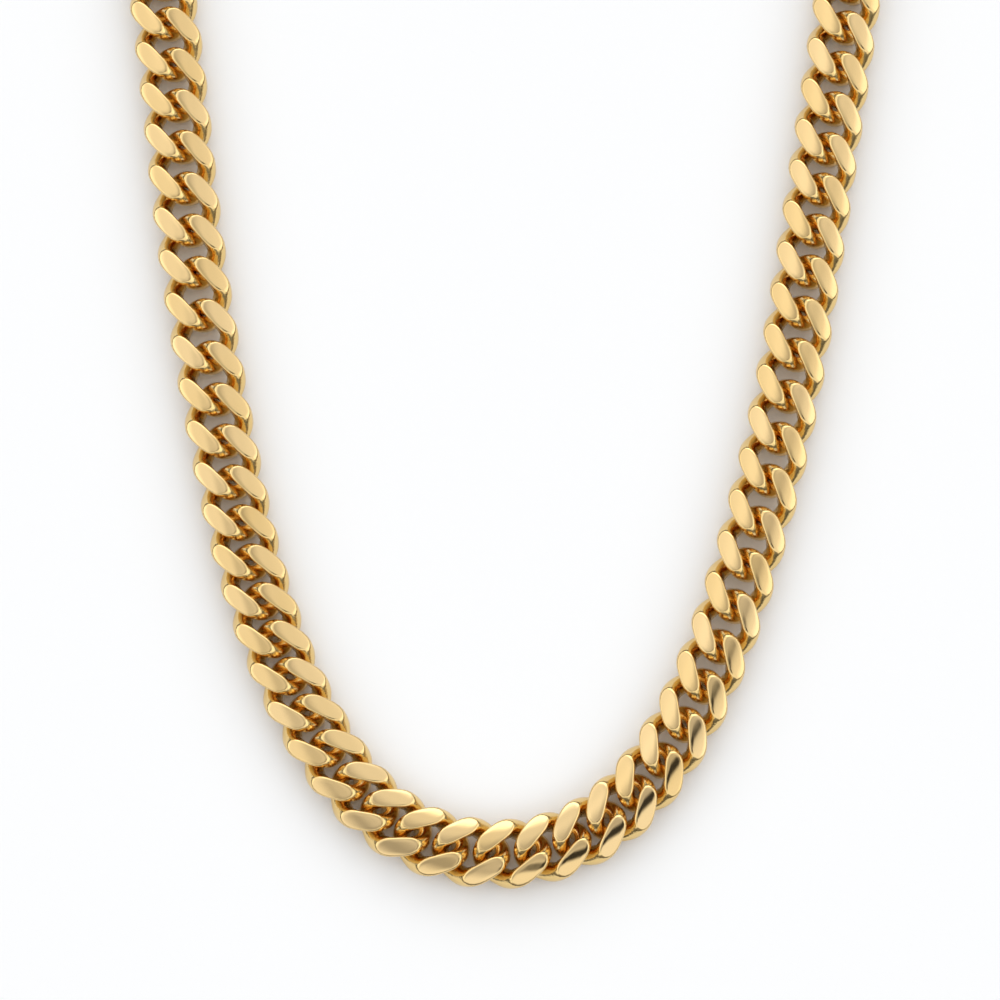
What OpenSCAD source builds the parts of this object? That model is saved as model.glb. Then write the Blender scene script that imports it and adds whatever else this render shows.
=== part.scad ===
// Curb chain necklace, laid out flat as a closed loop.
// The origin is the middle of the loop on the surface that it lies on, Z is up,
// the clasp is towards +Y and the front of the necklace towards -Y.
// Each link is an oval ring of wire, twisted at both ends and ground flat above and below.

/* [Wire] */
// Diameter of the wire along the two sides of a link
side_wire_d = 3; // [2.4:0.05:3.1]
// Diameter of the wire round the two ends of a link
end_wire_d = 2.5; // [2.2:0.05:2.9]

/* [Link] */
// Width of the opening inside a link, which is the width of the mandrel it is wound on
inner_w = 4.4; // [4:0.1:6]
// Twist of each end of a link out of the level, in degrees
twist = 48; // [46:1:54]
// Length of each pitch over and above two thicknesses of end wire
pitch_room = 1.4; // [1.4:0.05:2.4]
// Play between the wires of two linked ends, on each side
link_play = 0.06; // [0.05:0.01:0.2]

/* [Grinding] */
// Thickness of the chain over its ground faces, at the middle of its width
chain_t = 4.9; // [4.2:0.1:5.4]
// Radius of the crown that the ground faces follow across the chain
crown_r = 9.4; // [8:0.1:40]

/* [Clasp] */
// Width of the clasp's body across the chain
clasp_w = 11; // [10.6:0.2:14]
// Thickness of the clasp's body
clasp_t = 5; // [4.4:0.1:6]
// Radius of the body's upright corners
clasp_corner_r = 1.6; // [0.6:0.1:3]
// Radius of the body's long edges
clasp_edge_r = 1.2; // [0.4:0.1:2]
// How far the feet of the two eyes reach into the body
eye_foot = 2.4; // [1.6:0.1:4]

/* [Hidden] */
// Points that steer the loop, seen from above, counter-clockwise from the left of the clasp.
// The last of them closes on the first, and the clasp bridges that last span.
ROUTE = [
    [-10, 149.5], [-36, 141], [-51.5, 119], [-54, 93], [-50, 67.5],
    [-47.5, 41.5], [-43, 15], [-38, -10], [-30, -32.5], [-15, -53.5],
    [12.5, -54.5], [28.5, -34.5], [37, -10], [43.5, 16], [47.5, 41.5],
    [51.5, 67], [55.5, 92.5], [53.5, 118.5], [38, 141], [12.5, 149.5]
];
// Middle of the loop's box in the coordinates of those points
loop_middle = [0.8, 47.9];

// Steps along each span when the length of the loop is measured
span_steps = 8;
// Rings of corners round a link, and the six corners of each ring
stations = 16;
corners = 6;
// Least half angle of the flats that stand for a round wire
least_flat = 30;
// Greatest half angle of a ground face, so that its corners stay above the wire's waist
most_flat = 76;
// How much squarer than an ellipse the oval is: 1 is an ellipse
squareness = 0.92;
// How much of the twist happens early, near the middle of the link
twist_ease = 0.4;
// Half an angle step for the direction of the wire, in degrees
nudge = 1;
// Segments in each rounded corner of the clasp
arc_steps = 8;

gold = [0.89, 0.74, 0.42];

// Small vector helpers
function unit(v) = v / norm(v);
function sum(list, i = 0) = i < len(list) ? list[i] + sum(list, i + 1) : 0;
function limit(x, low, high) = max(low, min(high, x));

// The loop is a smooth closed curve, steered by four neighbouring points at a time
function steer(span, k) = ROUTE[(floor(span) + k + len(ROUTE)) % len(ROUTE)];
function route(span) =
    let(f = span - floor(span))
    (pow(1 - f, 3) * steer(span, -1)
        + (3 * pow(f, 3) - 6 * pow(f, 2) + 4) * steer(span, 0)
        + (-3 * pow(f, 3) + 3 * pow(f, 2) + 3 * f + 1) * steer(span, 1)
        + pow(f, 3) * steer(span, 2)) / 6 - loop_middle;
function route_heading(span) =
    let(
        f = span - floor(span),
        d = -pow(1 - f, 2) * steer(span, -1)
            + (3 * pow(f, 2) - 4 * f) * steer(span, 0)
            + (-3 * pow(f, 2) + 2 * f + 1) * steer(span, 1)
            + pow(f, 2) * steer(span, 2)
    )
    atan2(d.y, d.x);

// The links share out every span but the clasp's
chain_spans = len(ROUTE) - 1;
chain_length = sum([
    for (k = [1:chain_spans * span_steps])
        norm(route(k / span_steps) - route((k - 1) / span_steps))
]);
half_links = round(chain_length / (2 * end_wire_d + pitch_room) / 2);
links = 2 * half_links;
function link_span(i) = (i + 0.5) * chain_spans / links;
link_centres = [for (i = [0:links - 1]) route(link_span(i))];
link_headings = [for (i = [0:links - 1]) route_heading(link_span(i))];
widest_pitch = max([for (i = [1:links - 1]) norm(link_centres[i] - link_centres[i - 1])]);

// Half length and half width of the oval, along the centre of its wire.
// The half length lets the widest pitch through with the stated play.
half_l = (widest_pitch + end_wire_d) / 2 + link_play;
half_w = (inner_w + side_wire_d) / 2;

// Centre of the wire at an angle round the link: along the chain, across it and up
function wire_centre(angle) =
    let(
        c = cos(angle),
        s = sin(angle),
        share = sign(c) * pow(abs(c), squareness),
        across = half_w * sign(s) * pow(abs(s), squareness),
        turn = twist * share * (1 + twist_ease * (1 - share * share))
    )
    [half_l * share, across * cos(turn), -across * sin(turn)];
function wire_radius(angle) = (end_wire_d + (side_wire_d - end_wire_d) * pow(sin(angle), 2)) / 2;

// Height of the ground faces over the middle of the thickness, falling to both sides
function crown(across) = chain_t / 2 - across * across / (2 * crown_r);
function ground(p) = [p.x, p.y, limit(p.z, -crown(p.y), crown(p.y))];

// Half angle at which a wire's surface meets a level at a given height over its centre
function flat_angle(height, radius) =
    limit(acos(limit(height / radius, -1, 1)), least_flat, most_flat);

// The same for one edge of a ground face: the level is the crown's where that edge comes to lie.
// above is 1 for the upper face and -1 for the lower, and side is 1 or -1 for its two edges.
function edge_angle(c, r, up, aside, above, side) =
    let(
        rough = flat_angle(crown(c.y) - above * c.z, r * up.z),
        edge = c.y + side * r * sin(rough) * aside.y
    )
    flat_angle(crown(edge) - above * c.z, r * up.z);

// One ring of six corners round the wire, with its top and bottom flats where they are ground
function wire_ring(angle) =
    let(
        c = wire_centre(angle),
        r = wire_radius(angle),
        ahead = unit(wire_centre(angle + nudge) - wire_centre(angle - nudge)),
        up = unit([0, 0, 1] - ahead * ahead.z),
        aside = cross(ahead, up),
        sides = [for (side = [1, -1])
            let(
                top = edge_angle(c, r, up, aside, 1, side),
                low = 180 - edge_angle(c, r, up, aside, -1, side)
            )
            [top, (top + low) / 2, low]
        ],
        round_angles = [
            each sides[0],
            360 - sides[1][2], 360 - sides[1][1], 360 - sides[1][0]
        ]
    )
    [for (a = round_angles) ground(c + r * (cos(a) * up + sin(a) * aside))];
link_shell = [for (k = [0:stations - 1]) each wire_ring(360 * k / stations)];

// Triangles between the rings of a tube, whose corners start at a given place in the list
function tube_faces(first, rings, steps) = [
    for (k = [0:steps - 1], j = [0:corners - 1])
        let(
            this = first + k * corners,
            next = first + ((k + 1) % rings) * corners,
            beside = (j + 1) % corners
        )
        each [[this + j, next + j, next + beside], [this + j, next + beside, this + beside]]
];
function cap_faces(first, far_end) = [
    for (j = [1:corners - 2])
        far_end ? [first, first + j + 1, first + j] : [first, first + j, first + j + 1]
];

// A corner of a link, moved to where that link lies
function set_down(p, i) =
    let(a = link_headings[i], c = link_centres[i])
    [c.x + p.x * cos(a) - p.y * sin(a), c.y + p.x * sin(a) + p.y * cos(a), chain_t / 2 + p.z];

// A run of linked links, as separate closed shells
module link_run(from, count) {
    shell = len(link_shell);
    polyhedron(
        points = [for (i = [from:from + count - 1], p = link_shell) set_down(p, i)],
        faces = [for (n = [0:count - 1]) each tube_faces(n * shell, stations, stations)],
        convexity = 10
    );
}

module left_chain() {
    color(gold) link_run(0, half_links);
}

module right_chain() {
    color(gold) link_run(half_links, half_links);
}

// The clasp closes the loop. Each of its eyes stands where the next link would, with a little
// more play than a link has, and takes half of the turn between its end link and the body.
function way(angle) = [cos(angle), sin(angle)];
eye_pitch = widest_pitch - link_play;
first_way = way(link_headings[0]);
last_way = way(link_headings[links - 1]);
clasp_way = unit(link_centres[0] - link_centres[links - 1]);
front_eye_way = unit(first_way + clasp_way);
back_eye_way = unit(last_way + clasp_way);
front_eye = link_centres[0] - eye_pitch * unit(first_way + front_eye_way);
back_eye = link_centres[links - 1] + eye_pitch * unit(last_way + back_eye_way);
clasp_l = norm(front_eye - back_eye);

// Outline of a box with round corners
function round_box(l, w, r) = [
    for (q = [0:3], k = [0:arc_steps])
        let(
            a = 90 * (q + k / arc_steps),
            sx = q == 0 || q == 3 ? 1 : -1,
            sy = q < 2 ? 1 : -1
        )
        [sx * (l / 2 - r) + r * cos(a), sy * (w / 2 - r) + r * sin(a)]
];

module clasp_body() {
    intersection() {
        linear_extrude(height = clasp_t)
            polygon(round_box(clasp_l, clasp_w, clasp_corner_r));
        translate([-clasp_l / 2, 0, clasp_t / 2])
            rotate([90, 0, 90])
                linear_extrude(height = clasp_l)
                    polygon(round_box(clasp_w, clasp_t, clasp_edge_r));
    }
}

// Half a link that stands out of the body, with both feet inside it
module eye() {
    rings = stations / 2 + 1;
    arch = [for (k = [0:rings - 1]) wire_ring(360 * k / stations - 90)];
    foot = [-eye_foot, 0, 0];
    all_rings = [
        [for (p = arch[0]) p + foot],
        each arch,
        [for (p = arch[rings - 1]) p + foot]
    ];
    translate([0, 0, chain_t / 2]) polyhedron(
        points = [for (ring = all_rings) each ring],
        faces = [
            each cap_faces(0, false),
            each tube_faces(0, rings + 2, rings + 1),
            each cap_faces((rings + 1) * corners, true)
        ],
        convexity = 4
    );
}

// Moves what lies along +X to a point and turns it to a way
module lay(point, along) {
    translate([point.x, point.y, 0])
        rotate([0, 0, atan2(along.y, along.x)])
            children();
}

module clasp() {
    color(gold)
        union() {
            lay((front_eye + back_eye) / 2, front_eye - back_eye) clasp_body();
            lay(front_eye, front_eye_way) eye();
            lay(back_eye, -back_eye_way) eye();
        }
}

left_chain();
right_chain();
clasp();
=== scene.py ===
"""Looks of the curb chain necklace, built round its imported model.

Every size is in millimetres and every mesh is made in metres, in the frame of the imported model:
the origin is the middle of the loop on the surface it lies on, Z is up and the clasp is at +Y.
"""

import logging
import math
from dataclasses import dataclass
from enum import Enum

import bmesh
import bpy
import numpy as np
from mathutils import Matrix, Vector


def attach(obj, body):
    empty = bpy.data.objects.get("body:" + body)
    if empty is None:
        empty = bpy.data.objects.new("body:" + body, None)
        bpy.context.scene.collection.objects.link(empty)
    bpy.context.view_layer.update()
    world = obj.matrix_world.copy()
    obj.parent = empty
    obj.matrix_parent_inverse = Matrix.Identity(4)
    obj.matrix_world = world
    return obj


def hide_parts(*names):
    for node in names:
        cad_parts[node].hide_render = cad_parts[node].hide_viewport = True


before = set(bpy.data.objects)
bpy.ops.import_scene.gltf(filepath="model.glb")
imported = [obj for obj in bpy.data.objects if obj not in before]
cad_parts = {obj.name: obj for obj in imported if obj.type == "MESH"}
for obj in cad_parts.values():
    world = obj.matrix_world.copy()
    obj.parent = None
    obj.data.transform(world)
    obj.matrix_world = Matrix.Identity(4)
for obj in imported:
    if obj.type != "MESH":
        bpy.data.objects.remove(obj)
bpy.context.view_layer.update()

MM = 0.001
BODY = "root"
GROUND_ATTRIBUTE = "ground"
HEADING_ATTRIBUTE = "heading"
TONE_ATTRIBUTE = "link_tone"
# Width that keeps the rounding of an edge from shrinking to nothing, in millimetres
LEAST_BLEND = 1e-6
# Corners closer than this are one corner where two meshes are joined, in millimetres
SLIVER = 0.002
# A face is upright where the upward part of its normal is less than this
UPRIGHT = 0.5
# Exposure of the picture in stops, and how often light may bounce at all and off shiny surfaces
EXPOSURE = 0.1
MAX_BOUNCES = 12
GLOSSY_BOUNCES = 8

log = logging.getLogger("necklace")


def linear(hex_colour: str) -> tuple[float, float, float, float]:
    """Turns an sRGB colour into the linear values that a shader takes.

    Args:
        hex_colour: Six hexadecimal digits after a hash.

    Returns:
        Linear red, green and blue, and an alpha of 1.
    """
    parts = [int(hex_colour[k:k + 2], 16) / 255 for k in (1, 3, 5)]
    curve = [p / 12.92 if p <= 0.04045 else ((p + 0.055) / 1.055) ** 2.4 for p in parts]
    return (*curve, 1.0)


def add_node(
    tree: bpy.types.NodeTree,
    kind: str,
    inputs: dict | None = None,
    **settings: object,
) -> bpy.types.Node:
    """Adds one node, with its settings, input values and incoming links.

    Args:
        tree: The tree that gets the node.
        kind: The node's type, such as ShaderNodeMix.
        inputs: For each input's name or place, a value or the socket that feeds it.
        **settings: The node's own properties.

    Returns:
        The new node.
    """
    node = tree.nodes.new(kind)
    for name, value in settings.items():
        setattr(node, name, value)
    for key, value in (inputs or {}).items():
        if isinstance(value, bpy.types.NodeSocket):
            tree.links.new(value, node.inputs[key])
        else:
            node.inputs[key].default_value = value
    return node


def new_piece(name: str, points: np.ndarray, faces: list[tuple[int, ...]]) -> bpy.types.Object:
    """Makes a smooth-shaded mesh object at the origin.

    Args:
        name: The piece's name.
        points: One row per corner, in millimetres.
        faces: The corners of each face, seen from outside counter-clockwise.

    Returns:
        The new object, linked to the scene.
    """
    mesh = bpy.data.meshes.new(name)
    mesh.from_pydata((np.asarray(points, float) * MM).tolist(), [], faces)
    mesh.shade_smooth()
    piece = bpy.data.objects.new(name, mesh)
    bpy.context.scene.collection.objects.link(piece)
    return piece


@dataclass(frozen=True)
class LoopRoute:
    """The way the necklace lies, as a smooth closed curve steered by a few points.

    The points run counter-clockwise as seen from above, from the left of the clasp. A span is
    the stretch of the curve that belongs to one of them, and the clasp bridges the last.
    """

    points: tuple[tuple[float, float], ...] = (
        (-10, 149.5), (-36, 141), (-51.5, 119), (-54, 93), (-50, 67.5),
        (-47.5, 41.5), (-43, 15), (-38, -10), (-30, -32.5), (-15, -53.5),
        (12.5, -54.5), (28.5, -34.5), (37, -10), (43.5, 16), (47.5, 41.5),
        (51.5, 67), (55.5, 92.5), (53.5, 118.5), (38, 141), (12.5, 149.5),
    )
    # Middle of the loop's box in the coordinates of those points
    middle: tuple[float, float] = (0.8, 47.9)
    links: int = 76

    def place(self, span: float) -> np.ndarray:
        """Gives the point of the curve at a number of spans from its first steering point.

        Args:
            span: The number of spans.

        Returns:
            The point, in millimetres from the middle of the loop.
        """
        f = span - math.floor(span)
        weights = (
            (1 - f) ** 3,
            3 * f ** 3 - 6 * f ** 2 + 4,
            -3 * f ** 3 + 3 * f ** 2 + 3 * f + 1,
            f ** 3,
        )
        return self.steer(span, weights) / 6 - np.array(self.middle)

    def heading(self, span: float) -> float:
        """Gives the curve's direction at a number of spans from its first steering point.

        Args:
            span: The number of spans.

        Returns:
            The angle from +X, in radians.
        """
        f = span - math.floor(span)
        weights = (
            -(1 - f) ** 2,
            3 * f ** 2 - 4 * f,
            -3 * f ** 2 + 2 * f + 1,
            f ** 2,
        )
        ahead = self.steer(span, weights)
        return math.atan2(ahead[1], ahead[0])

    def steer(self, span: float, weights: tuple[float, ...]) -> np.ndarray:
        """Adds up the four steering points round a span, each with its weight.

        Args:
            span: The number of spans from the first steering point.
            weights: The weight of each of the four.

        Returns:
            The weighted sum, as X and Y.
        """
        first = math.floor(span) - 1
        near = [self.points[(first + k) % len(self.points)] for k in range(4)]
        return np.array(weights) @ np.array(near, float)

    def link_span(self, number: int) -> float:
        """Gives the span at which a link lies. The last span of the loop is the clasp's."""
        return (number + 0.5) * (len(self.points) - 1) / self.links

    def widest_pitch(self) -> float:
        """Gives the widest distance between two neighbouring links."""
        places = np.array([self.place(self.link_span(n)) for n in range(self.links)])
        return float(np.linalg.norm(np.diff(places, axis=0), axis=1).max())


@dataclass(frozen=True)
class CurbLink:
    """One oval link of round wire, twisted at both ends and ground flat above and below.

    Its own coordinates run along the chain, across it and up, from the link's middle. A place
    round the link is an angle from its front end, and a place round the wire one from its top.
    """

    widest_pitch: float
    side_wire: float = 3.0
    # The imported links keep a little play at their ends, which this thicker wire takes up
    end_wire: float = 2.62
    inner_width: float = 4.4
    # Twist of each end out of the level, in degrees
    twist: float = 48.0
    # Thickness over the ground faces, and radius of the crown that they follow across the chain
    thickness: float = 4.9
    crown_radius: float = 9.4
    # How much squarer than an ellipse the oval is: 1 is an ellipse
    squareness: float = 0.92
    # How much of the twist happens early, near the middle of the link
    twist_ease: float = 0.4
    # How far the polish has rounded a ground face's edges, measured to each side of the edge
    rounding: float = 0.3
    # Steps from the middle of a side to the ground face, along it, and on to the end
    quarter_steps: tuple[int, int, int] = (2, 12, 4)
    # How strongly the rings crowd at a face's tips: along the face, and on the way to the end
    tip_ease: float = 0.8
    end_ease: float = 1.6
    # Even columns across the top face, a wall and the bottom face, between the edges' own
    even_columns: tuple[int, int, int] = (3, 2, 1)
    # Places of the columns that follow an edge on each side of it, in parts of the rounding
    edge_columns: tuple[float, ...] = (0.35, 0.75, 1.15)
    # Half angles, in degrees: the widest ground face that is looked for, and what the columns
    # of a face keep where it ends and where there is none
    widest_face: float = 112.0
    tip_face: float = 20.0
    idle_face: float = 26.0
    # How far under the ground a wire's top lies where its columns have their idle spacing
    idle_depth: float = 0.6
    # The most that the columns beside one edge take of the way to the next
    edge_share: float = 0.3
    # A place round the link, in degrees, that lies well inside a ground face
    mid_face: float = 120.0
    # Fineness of the searches for the surface, for a face's tips and for its edges
    surface_halvings: int = 20
    tip_halvings: int = 30
    edge_samples: int = 449

    @property
    def half_length(self) -> float:
        """Half the length of the oval along the wire's centre."""
        return (self.widest_pitch + self.end_wire) / 2

    @property
    def half_width(self) -> float:
        """Half the width of the oval along the wire's centre."""
        return (self.inner_width + self.side_wire) / 2

    def centre(self, angle: float) -> np.ndarray:
        """Gives the wire's centre at a place round the link.

        Args:
            angle: The place round the link.

        Returns:
            The centre, along the chain, across it and up.
        """
        c, s = math.cos(angle), math.sin(angle)
        share = math.copysign(abs(c) ** self.squareness, c)
        across = self.half_width * math.copysign(abs(s) ** self.squareness, s)
        turn = math.radians(self.twist) * share * (1 + self.twist_ease * (1 - share ** 2))
        return np.array([
            self.half_length * share, across * math.cos(turn), -across * math.sin(turn),
        ])

    def radius(self, angle: float) -> float:
        """Gives the wire's radius at an angle round the link."""
        return (self.end_wire + (self.side_wire - self.end_wire) * math.sin(angle) ** 2) / 2

    def crown(self, across: np.ndarray | float) -> np.ndarray | float:
        """Gives the height of the ground faces over the middle of the thickness."""
        return self.thickness / 2 - across ** 2 / (2 * self.crown_radius)

    def axes(self, angle: float) -> tuple[np.ndarray, np.ndarray]:
        """Gives the wire's own directions at a place round the link.

        Args:
            angle: The place round the link.

        Returns:
            The wire's upward direction and its sideways one.
        """
        nudge = math.radians(1)
        ahead = self.centre(angle + nudge) - self.centre(angle - nudge)
        ahead /= np.linalg.norm(ahead)
        up = np.array([0.0, 0.0, 1.0]) - ahead * ahead[2]
        up /= np.linalg.norm(up)
        return up, np.cross(ahead, up)

    def outside(self, points: np.ndarray, ways: np.ndarray, over: np.ndarray) -> np.ndarray:
        """Measures how far points lie outside the ground wire with its rounded edges.

        Args:
            points: The points, one per row.
            ways: The wire's own outward direction at each.
            over: How far each lies outside the round wire.

        Returns:
            A row per point: how far it lies outside, and its share of ground from 0 to 1.
        """
        slope = points[:, 1] / self.crown_radius
        side = np.sign(points[:, 2])
        face = np.column_stack([np.zeros(len(points)), slope, side])
        steep = np.linalg.norm(face, axis=1)
        above = (np.abs(points[:, 2]) - self.crown(points[:, 1])) / steep
        turn = np.linalg.norm(ways - face / steep[:, None], axis=1)
        blend = self.rounding * turn + LEAST_BLEND
        lead = (above - over) / blend
        rounded = np.maximum(above, over) + blend / 4 * np.maximum(0, 1 - np.abs(lead)) ** 2
        return np.column_stack([rounded, np.clip((1 + lead) / 2, 0, 1)])

    def surface(self, angle: float, around: np.ndarray) -> tuple[np.ndarray, np.ndarray]:
        """Gives points on the ground wire.

        Args:
            angle: The place round the link.
            around: Angles round the wire, from its top.

        Returns:
            One row per angle, and the share of ground at each.
        """
        up, aside = self.axes(angle)
        ways = np.outer(np.cos(around), up) + np.outer(np.sin(around), aside)
        radius = self.radius(angle)
        near, far = np.zeros(len(around)), np.full(len(around), radius)
        for _ in range(self.surface_halvings):
            reach = (near + far) / 2
            points = self.centre(angle) + ways * reach[:, None]
            found = self.outside(points, ways, reach - radius)
            far = np.where(found[:, 0] > 0, reach, far)
            near = np.where(found[:, 0] > 0, near, reach)
        return points, found[:, 1]

    def face_edges(self, angle: float, above: int) -> tuple[float, float, float]:
        """Finds the two edges of the ground face on the wire's top or underside.

        Args:
            angle: The place round the link.
            above: 1 for the upper face and -1 for the lower.

        Returns:
            The angles of both edges from the wire's top or bottom, and the ground's depth.
        """
        up, aside = self.axes(angle)
        widest = math.radians(self.widest_face)
        around = np.linspace(-widest, widest, self.edge_samples)
        points = self.centre(angle) + self.radius(angle) * (
            above * np.outer(np.cos(around), up) + np.outer(np.sin(around), aside)
        )
        excess = above * points[:, 2] - self.crown(points[:, 1])
        depth = float(excess.max())
        middle = float(around[excess.argmax()])
        low = high = middle
        ground = np.flatnonzero(excess > 0)
        if len(ground):
            low, high = (
                self.crossing(around, excess, int(ground[0]), -1),
                self.crossing(around, excess, int(ground[-1]), 1),
            )
        idle = min(1.0, max(0.0, -depth / self.idle_depth))
        least = math.radians(self.tip_face + (self.idle_face - self.tip_face) * idle)
        middle, half = (low + high) / 2, max((high - low) / 2, least)
        return middle - half, middle + half, depth

    @staticmethod
    def crossing(around: np.ndarray, excess: np.ndarray, last: int, step: int) -> float:
        """Finds where the excess falls to nothing beside its last ground sample.

        Args:
            around: The angles of the samples, from the wire's top.
            excess: How far the round wire stands out of the ground face at each.
            last: The last ground sample.
            step: 1 where the ground ends after it, and -1 where it ends before it.

        Returns:
            The angle from the wire's top.
        """
        beyond = last + step
        if not 0 <= beyond < len(around):
            return float(around[last])
        share = excess[last] / (excess[last] - excess[beyond])
        return float(around[last] + share * (around[beyond] - around[last]))

    def face_tips(self) -> tuple[float, float]:
        """Finds where an upper ground face starts and ends.

        Returns:
            Both places round the link.
        """
        tips = []
        for clear in (math.pi / 2, math.pi):
            deep = math.radians(self.mid_face)
            for _ in range(self.tip_halvings):
                middle = (clear + deep) / 2
                if self.face_edges(middle, 1)[2] > 0:
                    deep = middle
                else:
                    clear = middle
            tips.append(clear)
        return tips[0], tips[1]

    def ring_angles(self) -> list[float]:
        """Places the rings round the link, closer together at the tips of the ground faces.

        Returns:
            The place of each ring, once round the link.
        """
        tip, end = self.face_tips()
        lead, along, rest = self.quarter_steps
        quarter = [math.pi / 2 + (tip - math.pi / 2) * k / lead for k in range(lead)]
        for k in range(along):
            share = k / along
            eased = share - self.tip_ease * math.sin(2 * math.pi * share) / (2 * math.pi)
            quarter.append(tip + (end - tip) * eased)
        quarter += [end + (math.pi - end) * (k / rest) ** self.end_ease for k in range(rest)]
        mirrored = [math.pi - a for a in quarter[:0:-1]]
        half = [0.0, *mirrored, *quarter]
        return [*half, *(a + math.pi for a in half)]

    def ring(self, angle: float) -> tuple[np.ndarray, np.ndarray]:
        """Places the corners of one ring round the wire.

        Args:
            angle: The place round the link.

        Returns:
            The corners, and the share of ground at each.
        """
        top = self.face_edges(angle, 1)[:2]
        low = self.face_edges(angle, -1)[:2]
        top_columns, wall_columns, low_columns = self.even_columns
        radius = self.radius(angle)
        around = np.concatenate([
            self.face_angles(*top, radius, top_columns),
            self.wall_angles(top[1], math.pi - low[1], radius, wall_columns),
            math.pi + self.face_angles(-low[1], -low[0], radius, low_columns),
            self.wall_angles(math.pi - low[0], 2 * math.pi + top[0], radius, wall_columns),
        ])
        return self.surface(angle, around)

    def face_angles(self, start: float, end: float, radius: float, columns: int) -> np.ndarray:
        """Places the columns of a ground face, along the straight line between its edges.

        Args:
            start: The angle of the first edge from the wire's top.
            end: The angle of the second.
            radius: The wire's radius.
            columns: How many even columns stand between those that follow the edges.

        Returns:
            The angle of each column, with both edges.
        """
        corners = np.array([[math.sin(a), math.cos(a)] for a in (start, end)])
        width = float(np.linalg.norm(corners[1] - corners[0])) * radius
        shares = self.spread(0.0, 1.0, self.rounding / width, columns)
        shares = np.array([0.0, *shares, 1.0])[:, None]
        line = corners[0] * (1 - shares) + corners[1] * shares
        return np.arctan2(line[:, 0], line[:, 1])

    def wall_angles(self, start: float, end: float, radius: float, columns: int) -> np.ndarray:
        """Places the columns of the round wall between two edges, which belong to the faces."""
        return self.spread(start, end, self.rounding / radius, columns)

    def spread(self, start: float, end: float, reach: float, columns: int) -> np.ndarray:
        """Spreads columns between two edges, with those that follow each edge.

        Args:
            start: The first edge.
            end: The second edge.
            reach: How far the rounding reaches from an edge.
            columns: How many even columns stand between those that follow the edges.

        Returns:
            The place of each column, without the edges.
        """
        reach = min(reach, (end - start) * self.edge_share)
        edge = np.array(self.edge_columns) * reach
        inner = np.linspace(start + edge[-1], end - edge[-1], columns + 2)[1:-1]
        return np.array([*(start + edge), *inner, *(end - edge[::-1])])

    @staticmethod
    def tube(
        rings: list[np.ndarray], closed: bool
    ) -> tuple[np.ndarray, list[tuple[int, ...]]]:
        """Joins rings of corners to a tube, with its faces outwards.

        Args:
            rings: The rings, each with as many corners.
            closed: Whether the last ring joins the first. Otherwise both ends get a cap.

        Returns:
            The corners and the faces.
        """
        columns, count = len(rings[0]), len(rings)
        faces: list[tuple[int, ...]] = []
        for k in range(count if closed else count - 1):
            this, after = k * columns, (k + 1) % count * columns
            for j in range(columns):
                beside = (j + 1) % columns
                faces.append((this + j, this + beside, after + beside, after + j))
        if not closed:
            last = (count - 1) * columns
            faces.append(tuple(range(columns - 1, -1, -1)))
            faces.append(tuple(range(last, last + columns)))
        return np.vstack(rings), faces

    def build(self, name: str) -> bpy.types.Object:
        """Makes the link as a closed mesh, with its ground share as an attribute.

        Args:
            name: The object's name.

        Returns:
            The link, with its middle at the origin.
        """
        rings = [self.ring(a) for a in self.ring_angles()]
        link = new_piece(name, *self.tube([r[0] for r in rings], closed=True))
        share = link.data.attributes.new(GROUND_ATTRIBUTE, "FLOAT", "POINT")
        share.data.foreach_set("value", np.concatenate([r[1] for r in rings]))
        return link

    def arch(self, foot: float) -> tuple[np.ndarray, list[tuple[int, ...]]]:
        """Makes the front half of a link, with straight feet behind it.

        Args:
            foot: The length of each foot, in millimetres.

        Returns:
            The corners and the faces, with the middle of the whole link at the origin.
        """
        quarter = math.pi / 2
        angles = sorted(
            (a + math.pi) % (2 * math.pi) - math.pi for a in self.ring_angles()
        )
        rings = [self.ring(a)[0] for a in angles if abs(a) < quarter]
        ends = [self.ring(-quarter)[0], self.ring(quarter)[0]]
        back = np.array([-foot, 0.0, 0.0])
        return self.tube([ends[0] + back, ends[0], *rings, ends[1], ends[1] + back], closed=False)


class Strand(Enum):
    """The two halves of the chain, which meet at the front, in the order of their links."""

    LEFT = "left_chain"
    RIGHT = "right_chain"


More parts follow.
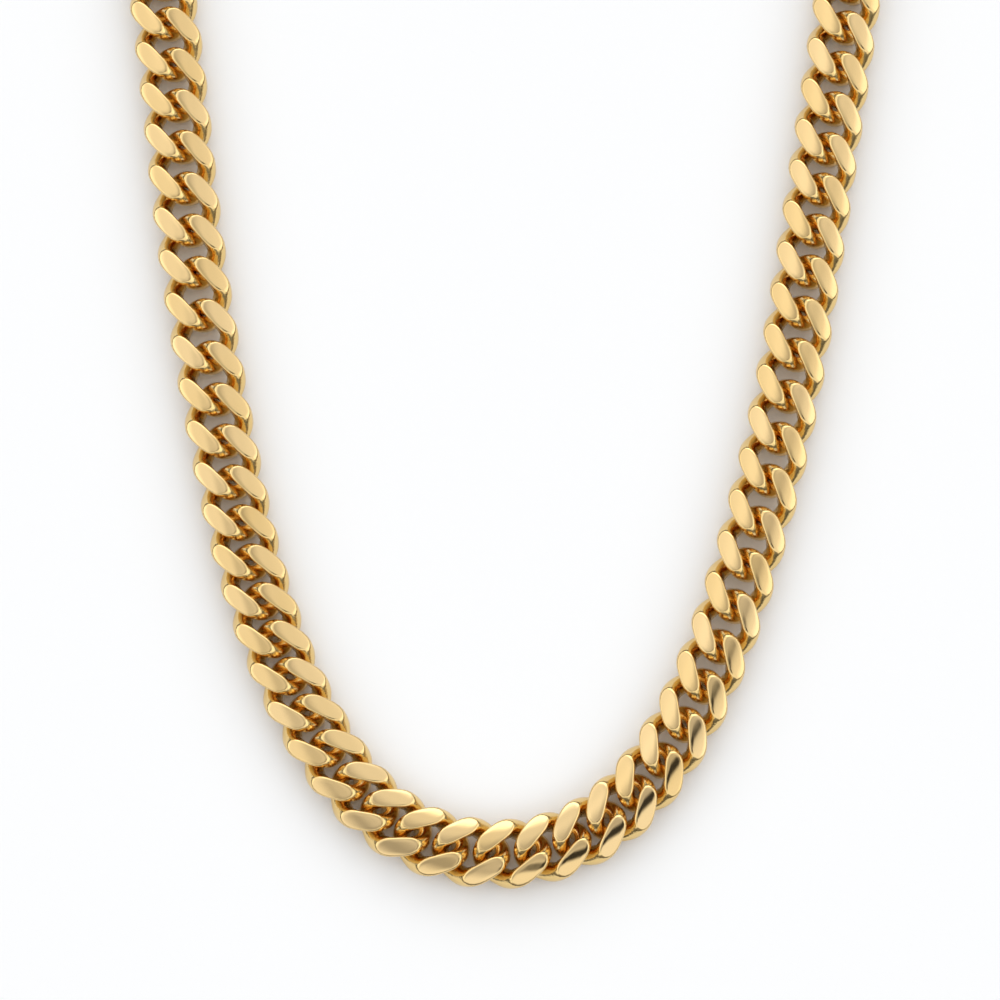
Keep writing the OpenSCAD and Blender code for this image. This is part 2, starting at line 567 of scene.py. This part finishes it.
@dataclass(frozen=True)
class LinkRun:
    """The tree that lays links of one strand along their places and makes them one mesh."""

    seed: int = 7
    # The most that a link leans along the chain and across it, at random, in degrees
    sway: float = 0.4

    def tree(self) -> bpy.types.NodeTree:
        """Builds the geometry tree.

        Returns:
            The tree, whose input geometry is one loose point per link.
        """
        tree = bpy.data.node_groups.new("lay_links", "GeometryNodeTree")
        for name, kind in (
            ("Places", "NodeSocketGeometry"),
            ("Link", "NodeSocketObject"),
            ("Finish", "NodeSocketMaterial"),
            ("Sway", "NodeSocketFloat"),
            ("Seed", "NodeSocketInt"),
        ):
            tree.interface.new_socket(name=name, in_out="INPUT", socket_type=kind)
        tree.interface.new_socket(name="Chain", in_out="OUTPUT", socket_type="NodeSocketGeometry")
        given = add_node(tree, "NodeGroupInput").outputs
        heading = add_node(
            tree, "GeometryNodeInputNamedAttribute", {"Name": HEADING_ATTRIBUTE},
            data_type="FLOAT",
        )
        link = add_node(
            tree, "GeometryNodeObjectInfo", {"Object": given["Link"]}, transform_space="ORIGINAL"
        )
        along = add_node(tree, "ShaderNodeCombineXYZ", {"Z": heading.outputs["Attribute"]})
        laid = add_node(tree, "GeometryNodeInstanceOnPoints", {
            "Points": given["Places"],
            "Instance": link.outputs["Geometry"],
            "Rotation": along.outputs["Vector"],
        })
        negative = add_node(
            tree, "ShaderNodeMath", {0: given["Sway"], 1: -1.0}, operation="MULTIPLY"
        )
        least = add_node(tree, "ShaderNodeCombineXYZ", {
            "X": negative.outputs["Value"], "Y": negative.outputs["Value"],
        })
        most = add_node(tree, "ShaderNodeCombineXYZ", {"X": given["Sway"], "Y": given["Sway"]})
        # The random node's own float and vector inputs share names, so they go by place
        swing = add_node(tree, "FunctionNodeRandomValue", {
            0: least.outputs["Vector"], 1: most.outputs["Vector"], "Seed": given["Seed"],
        }, data_type="FLOAT_VECTOR")
        swayed = add_node(tree, "GeometryNodeRotateInstances", {
            "Instances": laid.outputs["Instances"], "Rotation": swing.outputs[0],
        })
        tone = add_node(
            tree, "FunctionNodeRandomValue", {"Seed": given["Seed"]}, data_type="FLOAT"
        )
        toned = add_node(tree, "GeometryNodeStoreNamedAttribute", {
            "Geometry": swayed.outputs["Instances"],
            "Name": TONE_ATTRIBUTE,
            "Value": tone.outputs[1],
        }, data_type="FLOAT", domain="INSTANCE")
        real = add_node(
            tree, "GeometryNodeRealizeInstances", {"Geometry": toned.outputs["Geometry"]}
        )
        dressed = add_node(tree, "GeometryNodeSetMaterial", {
            "Geometry": real.outputs["Geometry"], "Material": given["Finish"],
        })
        add_node(tree, "NodeGroupOutput", {"Chain": dressed.outputs["Geometry"]})
        return tree

    def lay(
        self,
        name: str,
        places: np.ndarray,
        headings: list[float],
        link: bpy.types.Object,
        finish: bpy.types.Material,
    ) -> bpy.types.Object:
        """Lays one strand and turns it into a plain mesh.

        Args:
            name: The piece's name.
            places: The middle of each link, in millimetres.
            headings: The direction of each link, in radians.
            link: The link to repeat.
            finish: Its material.

        Returns:
            The strand, with every link real and no modifier left.
        """
        piece = new_piece(name, places, [])
        heading = piece.data.attributes.new(HEADING_ATTRIBUTE, "FLOAT", "POINT")
        heading.data.foreach_set("value", headings)
        maker = piece.modifiers.new("lay_links", "NODES")
        maker.node_group = self.tree()
        values = {
            "Link": link, "Finish": finish, "Sway": math.radians(self.sway), "Seed": self.seed,
        }
        for socket in maker.node_group.interface.items_tree:
            if socket.name in values:
                maker[socket.identifier] = values[socket.name]
        depsgraph = bpy.context.evaluated_depsgraph_get()
        piece.data = bpy.data.meshes.new_from_object(
            piece.evaluated_get(depsgraph), preserve_all_data_layers=True, depsgraph=depsgraph
        )
        piece.modifiers.clear()
        piece.data.shade_smooth()
        return piece


@dataclass(frozen=True)
class Chain:
    """Both strands of links."""

    route: LoopRoute
    link: CurbLink
    run: LinkRun

    def build(self, finish: bpy.types.Material) -> list[bpy.types.Object]:
        """Makes each strand, rides it on the body and lets it stand for its node.

        Args:
            finish: The links' material.

        Returns:
            The two strands.
        """
        pattern = self.link.build("link_pattern")
        pattern.data.materials.append(finish)
        strands = []
        half = self.route.links // 2
        level = self.link.thickness / 2
        for number, strand in enumerate(Strand):
            spans = [self.route.link_span(number * half + n) for n in range(half)]
            places = np.array([(*self.route.place(s), level) for s in spans])
            headings = [self.route.heading(s) for s in spans]
            piece = self.run.lay(strand.value + "_links", places, headings, pattern, finish)
            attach(piece, BODY)
            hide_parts(strand.value)
            strands.append(piece)
        bpy.data.objects.remove(pattern)
        return strands


@dataclass(frozen=True)
class BoxClasp:
    """The plain box clasp at the back, with half a link at each end of its body."""

    route: LoopRoute
    link: CurbLink
    width: float = 11.0
    thickness: float = 5.0
    # Radii of the upright corners and of the long edges
    corner: float = 1.6
    edge: float = 1.2
    # How far the feet of the two eyes reach into the body
    foot: float = 2.4
    corner_steps: int = 8
    edge_steps: int = 6
    # An edge that rises by less than this, in millimetres, is level
    level_rise: float = 0.01
    # The least angle between two faces, in degrees, that shades as a sharp edge
    sharp_angle: float = 32.0

    def eye(self, number: int, behind: int) -> tuple[np.ndarray, np.ndarray]:
        """Finds where an eye lies and which way it looks.

        Args:
            number: The end link that it holds.
            behind: 1 where the eye looks along the loop at that link, and -1 against it.

        Returns:
            The middle of the whole link that the eye is half of, and its direction.
        """
        route = self.route
        ends = [route.place(route.link_span(n)) for n in (0, route.links - 1)]
        body_way = (ends[0] - ends[1]) / np.linalg.norm(ends[0] - ends[1])
        turn = route.heading(route.link_span(number))
        link_way = np.array([math.cos(turn), math.sin(turn)])
        eye_way = link_way + body_way
        eye_way /= np.linalg.norm(eye_way)
        step = link_way + eye_way
        step *= self.link.widest_pitch / np.linalg.norm(step)
        return route.place(route.link_span(number)) - behind * step, behind * eye_way

    def build(self, finish: bpy.types.Material) -> bpy.types.Object:
        """Makes the clasp, rides it on the body and lets it stand for its node.

        Args:
            finish: The clasp's material.

        Returns:
            The clasp.
        """
        front, back = self.eye(0, 1), self.eye(self.route.links - 1, -1)
        middle = (front[0] + back[0]) / 2
        along = front[0] - back[0]
        piece = self.body(float(np.linalg.norm(along)))
        place_flat(piece, middle, along, self.thickness / 2)
        for at, way in (front, back):
            eye = new_piece("clasp_eye", *self.link.arch(self.foot))
            place_flat(eye, at, way, self.link.thickness / 2)
            weld(piece, eye)
        piece.data.set_sharp_from_angle(angle=math.radians(self.sharp_angle))
        piece.data.materials.clear()
        piece.data.materials.append(finish)
        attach(piece, BODY)
        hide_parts("clasp")
        return piece

    def body(self, length: float) -> bpy.types.Object:
        """Makes the box with its rounded corners and edges.

        Args:
            length: The body's length, in millimetres.

        Returns:
            The body, with its middle at the origin.
        """
        mesh = bmesh.new()
        bmesh.ops.create_cube(mesh, size=1.0, matrix=Matrix.Diagonal(
            (length * MM, self.width * MM, self.thickness * MM, 1.0)
        ))
        upright = [e for e in mesh.edges if not self.is_level(e)]
        bmesh.ops.bevel(
            mesh, geom=upright, offset=self.corner * MM, segments=self.corner_steps,
            profile=0.5, affect="EDGES",
        )
        level = [e for e in mesh.edges if self.is_level(e)]
        bmesh.ops.bevel(
            mesh, geom=level, offset=self.edge * MM, segments=self.edge_steps,
            profile=0.5, affect="EDGES",
        )
        bmesh.ops.recalc_face_normals(mesh, faces=mesh.faces)
        data = bpy.data.meshes.new("clasp_plain")
        mesh.to_mesh(data)
        mesh.free()
        data.shade_smooth()
        piece = bpy.data.objects.new("clasp_plain", data)
        bpy.context.scene.collection.objects.link(piece)
        return piece

    def is_level(self, edge: bmesh.types.BMEdge) -> bool:
        """Tells whether both ends of an edge lie at one height."""
        return abs(edge.verts[0].co.z - edge.verts[1].co.z) < self.level_rise * MM


def place_flat(piece: bpy.types.Object, at: np.ndarray, way: np.ndarray, level: float) -> None:
    """Turns a mesh about Z and moves it, within its own coordinates.

    Args:
        piece: The mesh, made along +X round the origin.
        at: Where its middle goes, in millimetres.
        way: The direction that its +X takes.
        level: The height of its middle, in millimetres.
    """
    turn = Matrix.Rotation(math.atan2(way[1], way[0]), 4, "Z")
    piece.data.transform(Matrix.Translation(Vector((*at, level)) * MM) @ turn)


def weld(piece: bpy.types.Object, other: bpy.types.Object) -> None:
    """Joins another closed mesh to a piece as one skin, and merges the slivers along the seam.

    Args:
        piece: The piece that keeps the joined mesh.
        other: The object to join, which is removed.
    """
    join = piece.modifiers.new("weld", "BOOLEAN")
    join.operation, join.solver, join.object = "UNION", "EXACT", other
    depsgraph = bpy.context.evaluated_depsgraph_get()
    piece.data = bpy.data.meshes.new_from_object(piece.evaluated_get(depsgraph))
    piece.modifiers.clear()
    bpy.data.objects.remove(other)
    mesh = bmesh.new()
    mesh.from_mesh(piece.data)
    bmesh.ops.remove_doubles(mesh, verts=mesh.verts, dist=SLIVER * MM)
    # The upright faces that the other mesh enters have many sides, and a later split of them
    # can fold back on its neighbours
    entered = [f for f in mesh.faces if len(f.verts) > 4 and abs(f.normal.z) < UPRIGHT]
    bmesh.ops.triangulate(mesh, faces=entered)
    mesh.to_mesh(piece.data)
    mesh.free()


@dataclass(frozen=True)
class GoldPlate:
    """Pale yellow gold plated on brass, under a thin clear lacquer.

    The plate is polished to a mirror on the ground faces, with a slight orange peel. On the round
    wire it keeps the fine ripple of drawing and tumbling, which breaks up what it reflects.
    """

    name: str
    # Colours of the ground faces and of the wire, and the richer one that the faces drift to
    colour: str = "#E9CA92"
    wire: str = "#E9C883"
    rich: str = "#E2BE77"
    # Roughness of the ground faces and of the wire, and the most that the peel adds to it
    polished: float = 0.07
    tumbled: float = 0.12
    haze: float = 0.03
    # How much of the lacquer there is, and how rough it is
    lacquer: float = 0.5
    lacquer_roughness: float = 0.05
    # Sizes of the ripple, the orange peel of the polish and the drift of the plate's tone
    ripple_size: float = 0.24
    ripple_height: float = 0.018
    peel_size: float = 1.6
    peel_height: float = 0.005
    drift_size: float = 14.0

    def material(self) -> bpy.types.Material:
        """Builds the material, which reads the ground share and the tone of each link.

        Returns:
            The material. A mesh without those attributes is wire all over.
        """
        material = bpy.data.materials.new(self.name)
        material.use_nodes = True
        tree = material.node_tree
        tree.nodes.clear()
        place = add_node(tree, "ShaderNodeTexCoord").outputs["Object"]
        ground = add_node(
            tree, "ShaderNodeAttribute", attribute_name=GROUND_ATTRIBUTE
        ).outputs["Fac"]
        tone = add_node(
            tree, "ShaderNodeAttribute", attribute_name=TONE_ATTRIBUTE
        ).outputs["Fac"]
        noises = {}
        for key, size, detail in (
            ("ripple", self.ripple_size, 2.0),
            ("peel", self.peel_size, 1.0),
            ("drift", self.drift_size, 2.0),
        ):
            noises[key] = add_node(tree, "ShaderNodeTexNoise", {
                "Vector": place, "Scale": 1 / (size * MM), "Detail": detail,
            }).outputs["Fac"]
        drift = add_node(
            tree, "ShaderNodeMath", {0: noises["drift"], 1: tone}, operation="MULTIPLY"
        )
        colour = add_node(tree, "ShaderNodeMix", {
            "Factor": drift.outputs["Value"],
            "A": linear(self.colour),
            "B": linear(self.rich),
        }, data_type="RGBA")
        shaded = add_node(tree, "ShaderNodeMix", {
            "Factor": ground,
            "A": linear(self.wire),
            "B": colour.outputs["Result"],
        }, data_type="RGBA")
        roughness = add_node(tree, "ShaderNodeMapRange", {
            "Value": ground, "To Min": self.tumbled, "To Max": self.polished,
        })
        hazed = add_node(tree, "ShaderNodeMath", {
            0: noises["peel"], 1: self.haze, 2: roughness.outputs["Result"],
        }, operation="MULTIPLY_ADD")
        wire = add_node(tree, "ShaderNodeMath", {0: 1.0, 1: ground}, operation="SUBTRACT")
        ripple = add_node(tree, "ShaderNodeMath", {
            0: noises["ripple"], 1: wire.outputs["Value"],
        }, operation="MULTIPLY")
        rippled = add_node(tree, "ShaderNodeBump", {
            "Height": ripple.outputs["Value"], "Distance": self.ripple_height * MM,
        })
        peeled = add_node(tree, "ShaderNodeBump", {
            "Height": noises["peel"],
            "Distance": self.peel_height * MM,
            "Normal": rippled.outputs["Normal"],
        })
        surface = add_node(tree, "ShaderNodeBsdfPrincipled", {
            "Base Color": shaded.outputs["Result"],
            "Metallic": 1.0,
            "Roughness": hazed.outputs["Value"],
            "Normal": peeled.outputs["Normal"],
            "Coat Weight": self.lacquer,
            "Coat Roughness": self.lacquer_roughness,
            "Coat Normal": peeled.outputs["Normal"],
        })
        add_node(tree, "ShaderNodeOutputMaterial", {"Surface": surface.outputs["BSDF"]})
        return material


@dataclass(frozen=True)
class PaperSweep:
    """The plain pale floor, a matt white sheet."""

    half_side: float = 1500.0
    colour: str = "#FDFEFF"
    roughness: float = 0.9

    def build(self) -> bpy.types.Object:
        """Makes the floor.

        Returns:
            The floor.
        """
        side = self.half_side
        floor = new_piece("floor", np.array([
            (-side, -side, 0), (side, -side, 0), (side, side, 0), (-side, side, 0),
        ]), [(0, 1, 2, 3)])
        material = bpy.data.materials.new("matt_white_paper")
        material.use_nodes = True
        surface = material.node_tree.nodes["Principled BSDF"]
        surface.inputs["Base Color"].default_value = linear(self.colour)
        surface.inputs["Roughness"].default_value = self.roughness
        floor.data.materials.append(material)
        return floor


@dataclass(frozen=True)
class LightPanel:
    """One soft-edged panel of the studio, as a rectangle seen from the table.

    Places and sizes are sideways parts of a direction: 0 is straight up and 1 the horizon.
    """

    middle: tuple[float, float]
    half_size: tuple[float, float]
    # Brightness, and half the width of the soft edges
    level: float
    soft: float = 0.06


@dataclass(frozen=True)
class CurvedGap:
    """A dark gap between the panels, as part of a ring round the zenith.

    The radius and the half width are sideways parts of a direction. The angles are in degrees,
    from +X.
    """

    radius: float = 0.4
    half_width: float = 0.1
    middle: float = -48.0
    half_angle: float = 42.0
    level: float = 0.04
    soft: float = 0.05
    soft_angle: float = 14.0


@dataclass(frozen=True)
class Studio:
    """Soft light from all round, with brighter and darker panels. Each covers those before it."""

    walls: float = 1.08
    # The dark room under the panels, and the upward parts of direction between which it fades
    room: float = 0.12
    room_fade: tuple[float, float] = (0.15, 0.35)
    panels: tuple[LightPanel, ...] = (
        LightPanel(middle=(0.0, 0.78), half_size=(0.85, 0.24), level=1.3, soft=0.12),
        LightPanel(middle=(0.05, 0.28), half_size=(0.6, 0.5), level=0.93, soft=0.2),
        LightPanel(middle=(-0.42, 0.36), half_size=(0.18, 0.18), level=1.2, soft=0.15),
        LightPanel(middle=(0.02, 0.2), half_size=(0.18, 0.2), level=0.56, soft=0.17),
        LightPanel(middle=(0.16, -0.1), half_size=(0.22, 0.16), level=0.56, soft=0.15),
        LightPanel(middle=(-0.3, -0.34), half_size=(0.25, 0.22), level=0.46, soft=0.13),
        LightPanel(middle=(-0.36, -0.04), half_size=(0.14, 0.2), level=0.72, soft=0.12),
        LightPanel(middle=(-0.7, -0.02), half_size=(0.16, 0.24), level=1.04, soft=0.12),
        LightPanel(middle=(0.4, -0.04), half_size=(0.16, 0.16), level=0.6, soft=0.13),
        LightPanel(middle=(-0.9, 0.2), half_size=(0.1, 0.5), level=1.5),
        LightPanel(middle=(0.86, 0.05), half_size=(0.12, 0.5), level=1.5),
        LightPanel(middle=(0.0, 0.84), half_size=(0.5, 0.1), level=2.2, soft=0.08),
        LightPanel(middle=(0.0, -1.0), half_size=(1.2, 0.2), level=0.25),
    )
    gap: CurvedGap = CurvedGap()

    def light(self) -> None:
        """Builds the world's light."""
        world = bpy.data.worlds.new("soft_studio")
        bpy.context.scene.world = world
        world.use_nodes = True
        tree = world.node_tree
        tree.nodes.clear()
        way = add_node(tree, "ShaderNodeTexCoord").outputs["Generated"]
        split = add_node(tree, "ShaderNodeSeparateXYZ", {"Vector": way})
        level: float | bpy.types.NodeSocket = self.walls
        for panel in self.panels:
            mix = add_node(tree, "ShaderNodeMix", {
                "Factor": self.panel_mask(tree, split, panel), "A": level, "B": panel.level,
            }, data_type="FLOAT")
            level = mix.outputs["Result"]
        gapped = add_node(tree, "ShaderNodeMix", {
            "Factor": self.gap_mask(tree, split), "A": level, "B": self.gap.level,
        }, data_type="FLOAT")
        low, high = self.room_fade
        height = add_node(tree, "ShaderNodeMapRange", {
            "Value": split.outputs["Z"], "From Min": low, "From Max": high,
        }, interpolation_type="SMOOTHSTEP")
        roomed = add_node(tree, "ShaderNodeMix", {
            "Factor": height.outputs["Result"], "A": self.room, "B": gapped.outputs["Result"],
        }, data_type="FLOAT")
        lamp = add_node(tree, "ShaderNodeBackground", {
            "Color": linear("#FFFFFF"), "Strength": roomed.outputs["Result"],
        })
        add_node(tree, "ShaderNodeOutputWorld", {"Surface": lamp.outputs["Background"]})

    def gap_mask(
        self, tree: bpy.types.NodeTree, split: bpy.types.Node
    ) -> bpy.types.NodeSocket:
        """Builds how much of the curved gap shows in each direction.

        Args:
            tree: The world's tree.
            split: The node that gives the three parts of the direction.

        Returns:
            A value of 1 inside the gap and 0 outside it.
        """
        gap = self.gap
        flat = add_node(tree, "ShaderNodeCombineXYZ", {
            "X": split.outputs["X"], "Y": split.outputs["Y"],
        })
        radius = add_node(
            tree, "ShaderNodeVectorMath", {0: flat.outputs["Vector"]}, operation="LENGTH"
        )
        angle = add_node(tree, "ShaderNodeMath", {
            0: split.outputs["Y"], 1: split.outputs["X"],
        }, operation="ARCTAN2")
        across = self.band(tree, radius.outputs["Value"], gap.radius, gap.half_width, gap.soft)
        along = self.band(
            tree, angle.outputs["Value"], math.radians(gap.middle),
            math.radians(gap.half_angle), math.radians(gap.soft_angle),
        )
        return self.product(tree, across, along)

    def panel_mask(
        self, tree: bpy.types.NodeTree, split: bpy.types.Node, panel: LightPanel
    ) -> bpy.types.NodeSocket:
        """Builds how much of a panel shows in each direction.

        Args:
            tree: The world's tree.
            split: The node that gives the three parts of the direction.
            panel: The panel.

        Returns:
            A value of 1 inside the panel and 0 outside it.
        """
        across, along = (
            self.band(tree, split.outputs[axis], middle, half, panel.soft)
            for axis, middle, half in zip("XY", panel.middle, panel.half_size)
        )
        return self.product(tree, across, along)

    @staticmethod
    def band(
        tree: bpy.types.NodeTree,
        value: bpy.types.NodeSocket,
        middle: float,
        half: float,
        soft: float,
    ) -> bpy.types.NodeSocket:
        """Builds a value of 1 inside a band and 0 outside it, with soft edges.

        Args:
            tree: The world's tree.
            value: The socket that gives the place across the band.
            middle: The middle of the band.
            half: Half its width, to the middle of its soft edges.
            soft: Half the width of each soft edge.

        Returns:
            The socket that gives the result.
        """
        offset = add_node(tree, "ShaderNodeMath", {0: value, 1: middle}, operation="SUBTRACT")
        reach = add_node(
            tree, "ShaderNodeMath", {0: offset.outputs["Value"]}, operation="ABSOLUTE"
        )
        return add_node(tree, "ShaderNodeMapRange", {
            "Value": reach.outputs["Value"],
            "From Min": half - soft,
            "From Max": half + soft,
            "To Min": 1.0,
            "To Max": 0.0,
        }, interpolation_type="SMOOTHSTEP").outputs["Result"]

    @staticmethod
    def product(
        tree: bpy.types.NodeTree, first: bpy.types.NodeSocket, second: bpy.types.NodeSocket
    ) -> bpy.types.NodeSocket:
        """Builds the product of two values."""
        node = add_node(tree, "ShaderNodeMath", {0: first, 1: second}, operation="MULTIPLY")
        return node.outputs["Value"]


@dataclass(frozen=True)
class TableCamera:
    """A long lens over the front of the necklace, a little off straight down."""

    # Where the middle of the picture meets the middle of the chain's thickness
    target: tuple[float, float, float] = (-0.8, -47.9, 2.45)
    # Angle off straight down, in degrees
    lean: float = 10.0
    # Distance from the target, and how much the picture shows there
    distance: float = 650.0
    frame_width: float = 150.0
    # Distances of the nearest and farthest things that show
    nearest: float = 10.0
    farthest: float = 10000.0

    def build(self) -> bpy.types.Object:
        """Makes the camera and sets it as the scene's.

        Returns:
            The camera.
        """
        lean = math.radians(self.lean)
        back = Vector((0.0, -math.sin(lean), math.cos(lean)))
        data = bpy.data.cameras.new("table_camera")
        data.lens = data.sensor_width * self.distance / self.frame_width
        data.clip_start, data.clip_end = self.nearest * MM, self.farthest * MM
        camera = bpy.data.objects.new("table_camera", data)
        camera.location = (Vector(self.target) + back * self.distance) * MM
        camera.rotation_euler = (lean, 0.0, 0.0)
        bpy.context.scene.collection.objects.link(camera)
        bpy.context.scene.camera = camera
        return camera


def set_colour_and_bounces() -> None:
    """Sets how light values become picture colours, and how often light may bounce."""
    scene = bpy.context.scene
    scene.view_settings.view_transform = "Standard"
    scene.view_settings.exposure = EXPOSURE
    scene.cycles.max_bounces = MAX_BOUNCES
    scene.cycles.glossy_bounces = GLOSSY_BOUNCES


def main() -> None:
    """Builds the camera, the light, the floor and the necklace, and reports each piece."""
    TableCamera().build()
    Studio().light()
    PaperSweep().build()
    set_colour_and_bounces()
    route = LoopRoute()
    link = CurbLink(widest_pitch=route.widest_pitch())
    # Ground links: mirror-like faces between rounder, rippled wire
    chain_gold = GoldPlate("gold_plated_brass_links").material()
    # The clasp isn't ground, so all of it has the tumbled finish
    clasp_gold = GoldPlate("gold_plated_brass_clasp", ripple_height=0.002).material()
    pieces = Chain(route, link, LinkRun()).build(chain_gold)
    pieces.append(BoxClasp(route, link).build(clasp_gold))
    for piece in pieces:
        triangles = sum(len(face.vertices) - 2 for face in piece.data.polygons)
        log.info("%s: %d triangles, %s", piece.name, triangles, piece.data.materials[0].name)


if __name__ == "__main__":
    logging.basicConfig(level=logging.INFO, format="%(name)s: %(message)s")
    main()
